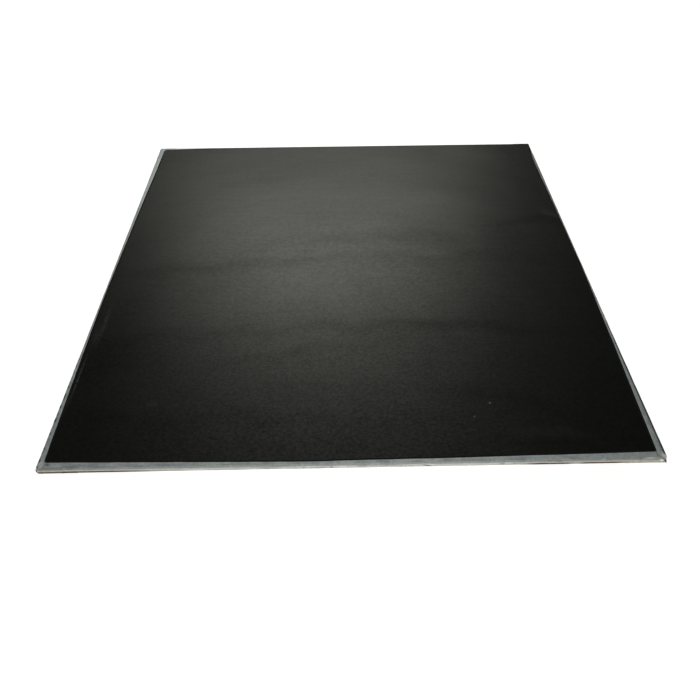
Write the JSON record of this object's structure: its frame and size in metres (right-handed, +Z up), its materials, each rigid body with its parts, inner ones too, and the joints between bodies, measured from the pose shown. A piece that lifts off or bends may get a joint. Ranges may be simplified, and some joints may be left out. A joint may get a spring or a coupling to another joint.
{
  "type": "granite work slab",
  "caption": "Thin square black granite slab with silver cloth tape bound round its edges, used as a firm flat surface for leather tooling and punching.",
  "frame": {"origin": "middle of the bench surface the slab lies on, under the centre of the slab", "axes": "+X right, +Y to the back, +Z up out of the work face"},
  "size_m": [0.6104, 0.611, 0.008],
  "materials": {
    "black_granite": "honed, satin sheen, fine even crystal speckle",
    "silver_tape": "silver-grey polyethylene-coated cloth tape, slightly wrinkled"
  },
  "bodies": {
    "root": {"granite_tile": "black_granite", "edge_tape_front": "silver_tape", "edge_tape_rear": "silver_tape", "edge_tape_left": "silver_tape", "edge_tape_right": "silver_tape"}
  },
  "joints": []
}
